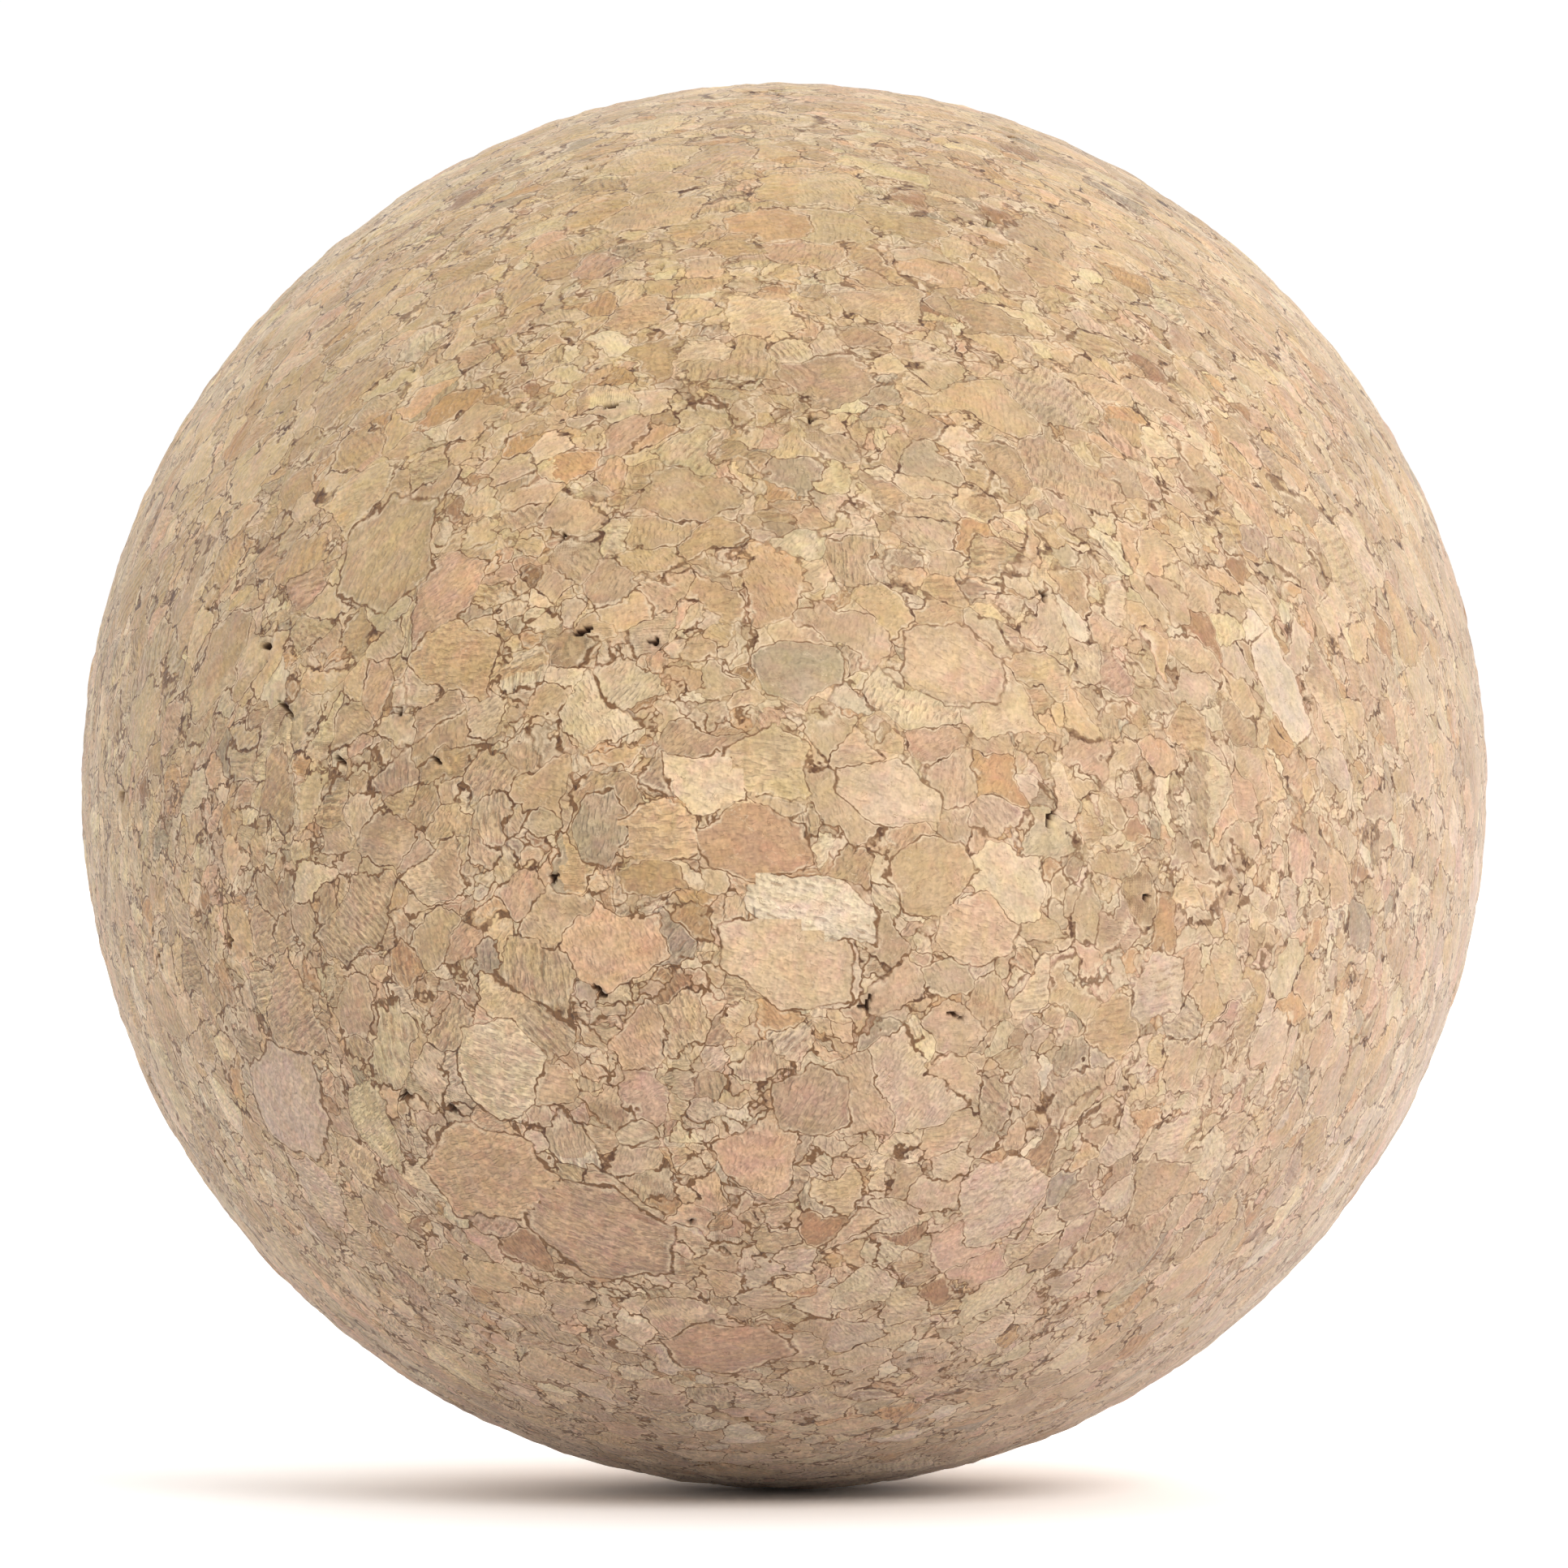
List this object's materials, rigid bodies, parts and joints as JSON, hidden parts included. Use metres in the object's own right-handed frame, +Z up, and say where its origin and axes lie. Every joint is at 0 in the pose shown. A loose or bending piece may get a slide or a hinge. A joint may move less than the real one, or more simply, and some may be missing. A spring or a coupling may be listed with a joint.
{
  "type": "cork massage ball",
  "caption": "Solid ball of bonded cork granules with a fine grain and small open voids, rolled under the foot or back to massage muscles.",
  "frame": {"origin": "centre of the ball", "axes": "+Z up as pictured, -Y towards the viewer, +X to the right; the ball is a true sphere, so no axis is marked on it"},
  "size_m": [0.065, 0.065, 0.065],
  "materials": {
    "cork": "matte"
  },
  "bodies": {
    "root": {"cork_ball": "cork"}
  },
  "joints": []
}
